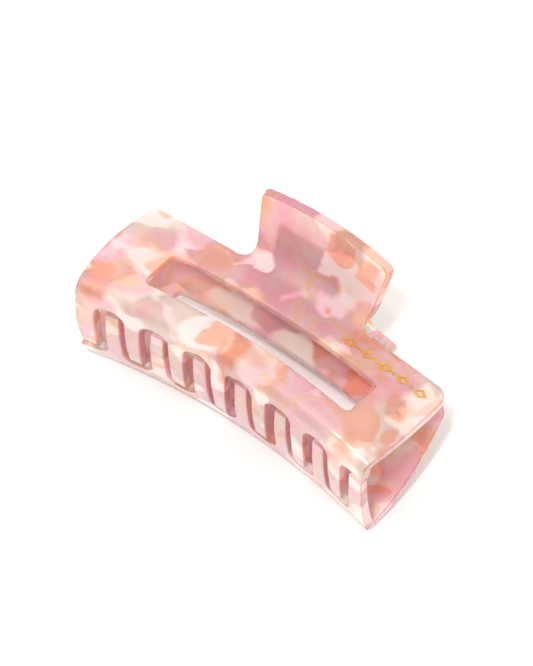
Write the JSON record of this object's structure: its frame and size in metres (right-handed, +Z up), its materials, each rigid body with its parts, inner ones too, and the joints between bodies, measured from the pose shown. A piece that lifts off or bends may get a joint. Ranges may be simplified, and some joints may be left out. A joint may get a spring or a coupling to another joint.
{
  "type": "claw hair clip",
  "caption": "Rectangular acetate claw hair clip with slotted roof jaws, interlocking teeth, flared thumb handles and a sprung metal hinge.",
  "frame": {"origin": "middle of the bounding box on the table under the closed clip", "axes": "+X along the hinge pin, +Y from the teeth towards the handles, +Z up; the clip lies on its lower jaw"},
  "size_m": [0.0944, 0.0563, 0.0518],
  "materials": {
    "acetate_upper": "polished translucent cellulose acetate, pink, peach, cream and orange chips",
    "acetate_lower": "polished translucent cellulose acetate, pink, peach, cream and orange chips",
    "gold_plate": "polished gold plating",
    "gold_pin": "polished gold plating",
    "gold_wire": "gold plated spring wire",
    "gold_foil": "hot stamped foil"
  },
  "bodies": {
    "lower_half": {"lower_jaw": "acetate_lower", "lower_leaf": "gold_plate", "hinge_pin": "gold_pin", "torsion_spring": "gold_wire"},
    "upper_half": {"upper_jaw": "acetate_upper", "upper_leaf": "gold_plate", "foil_emblem": "gold_foil"}
  },
  "joints": [
    {"name": "jaw_hinge", "type": "hinge", "parent": "lower_half", "child": "upper_half", "pos_m": [0, 0.01159, 0.0244], "axis": [-1, 0, 0], "range_deg": [0, 60], "stiffness_Nm_per_rad": 0.15, "springref_deg": -57.3, "deforming": ["torsion_spring"]}
  ]
}
